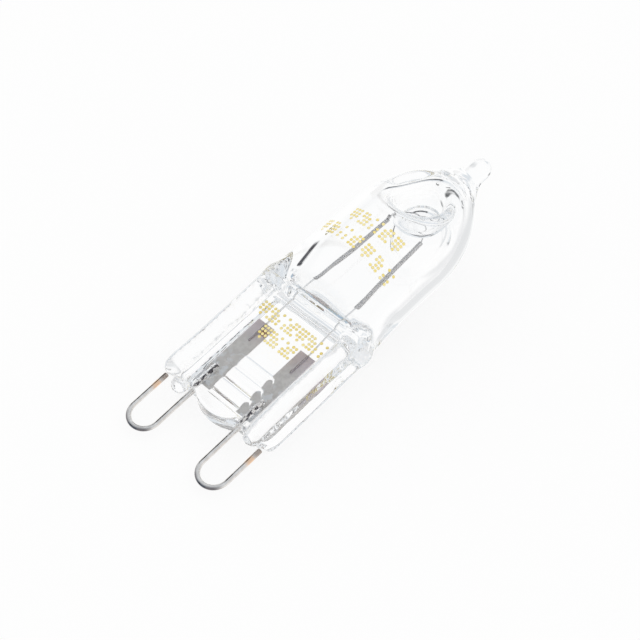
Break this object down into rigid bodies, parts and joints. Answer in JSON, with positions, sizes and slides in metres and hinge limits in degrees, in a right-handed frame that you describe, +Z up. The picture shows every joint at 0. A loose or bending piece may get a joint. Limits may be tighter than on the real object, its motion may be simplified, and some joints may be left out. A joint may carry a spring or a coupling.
{
  "type": "halogen capsule bulb",
  "caption": "Clear quartz capsule lamp with a flat pressed end, two looped wire pins, sealing foils and an arched coiled filament.",
  "frame": {"origin": "on the table, under the middle of the lying lamp's box", "axes": "+X towards the tip end, -X towards the pins, +Y towards the left pin, +Z up; the lamp lies on its back face, its axis raised 12.2 degrees towards the tip"},
  "size_m": [0.0424, 0.0126, 0.0127],
  "materials": {
    "quartz_glass": "clear fused quartz, fire polished",
    "pin_metal": "drawn nickel-plated wire, heat tinted brown near the free ends",
    "foil_metal": "etched molybdenum foil, dull dark grey, browned at the top",
    "filament_metal": "drawn tungsten, dull grey"
  },
  "bodies": {
    "root": {"glass_envelope": "quartz_glass", "contact_pin_left": "pin_metal", "contact_pin_right": "pin_metal", "foil_left": "foil_metal", "foil_right": "foil_metal", "inner_lead_left": "filament_metal", "inner_lead_right": "filament_metal", "filament": "filament_metal"}
  },
  "joints": []
}
